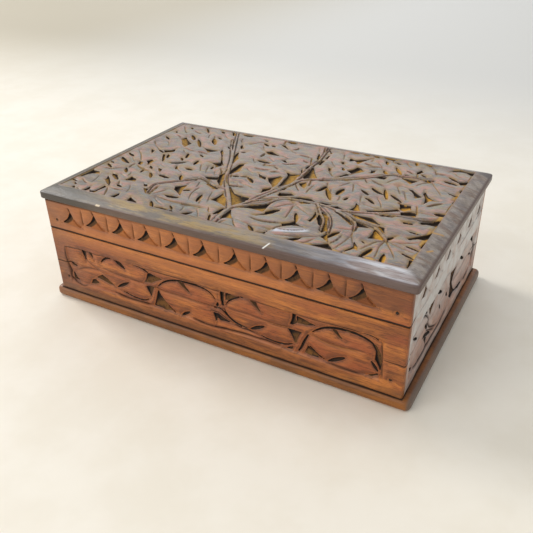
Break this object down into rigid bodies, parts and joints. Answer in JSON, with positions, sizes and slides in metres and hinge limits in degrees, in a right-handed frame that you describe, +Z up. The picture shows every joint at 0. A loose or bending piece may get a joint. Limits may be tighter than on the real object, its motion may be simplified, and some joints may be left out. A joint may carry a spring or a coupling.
{
  "type": "carved wooden box",
  "caption": "Low rectangular wooden keepsake box with a hinged bevelled lid, rebated board walls and an overhanging base board, on brass butt hinges.",
  "frame": {"origin": "middle of the flat underside of the base board, on the surface that the box stands on", "axes": "+Z up, +X along the box's length to the right, the front towards -Y and the hinges towards +Y"},
  "size_m": [0.2586, 0.161, 0.083],
  "materials": {
    "base_wood": "dark oiled walnut, satin, worn at the nosing",
    "body_wood": "oiled walnut, warm red-brown, satin",
    "lid_wall_wood": "oiled walnut, warm red-brown, satin",
    "lid_board_wood": "dark waxed walnut with a greyish sheen, carved and stained",
    "hinge_brass": "aged brass, dulled",
    "screw_brass": "aged brass, slotted heads",
    "nail_steel": "darkened steel"
  },
  "bodies": {
    "box_body": {"base_board": "base_wood", "body_lower_front": "body_wood", "body_lower_back": "body_wood", "body_lower_left": "body_wood", "body_lower_right": "body_wood", "body_upper_front": "body_wood", "body_upper_back": "body_wood", "body_upper_left": "body_wood", "body_upper_right": "body_wood", "hinge_left_body_leaf": "hinge_brass", "hinge_left_pin": "hinge_brass", "hinge_left_body_screw_1": "screw_brass", "hinge_left_body_screw_2": "screw_brass", "hinge_left_body_screw_3": "screw_brass", "hinge_right_body_leaf": "hinge_brass", "hinge_right_pin": "hinge_brass", "hinge_right_body_screw_1": "screw_brass", "hinge_right_body_screw_2": "screw_brass", "hinge_right_body_screw_3": "screw_brass", "body_brad_front_left": "nail_steel", "body_brad_front_right": "nail_steel", "body_brad_back_left": "nail_steel", "body_brad_back_right": "nail_steel", "base_nail_front_1": "nail_steel", "base_nail_front_2": "nail_steel", "base_nail_front_3": "nail_steel", "base_nail_back_1": "nail_steel", "base_nail_back_2": "nail_steel", "base_nail_back_3": "nail_steel", "base_nail_left": "nail_steel", "base_nail_right": "nail_steel"},
    "lid": {"lid_board": "lid_board_wood", "lid_wall_front": "lid_wall_wood", "lid_wall_back": "lid_wall_wood", "lid_wall_left": "lid_wall_wood", "lid_wall_right": "lid_wall_wood", "hinge_left_lid_leaf": "hinge_brass", "hinge_left_lid_screw_1": "screw_brass", "hinge_left_lid_screw_2": "screw_brass", "hinge_left_lid_screw_3": "screw_brass", "hinge_right_lid_leaf": "hinge_brass", "hinge_right_lid_screw_1": "screw_brass", "hinge_right_lid_screw_2": "screw_brass", "hinge_right_lid_screw_3": "screw_brass", "lid_brad_front_left": "nail_steel", "lid_brad_front_right": "nail_steel", "lid_brad_back_left": "nail_steel", "lid_brad_back_right": "nail_steel"}
  },
  "joints": [
    {"name": "lid_hinge", "type": "hinge", "parent": "box_body", "child": "lid", "pos_m": [0, 0.079, 0.054], "axis": [-1, 0, 0], "range_deg": [0, 175]}
  ]
}
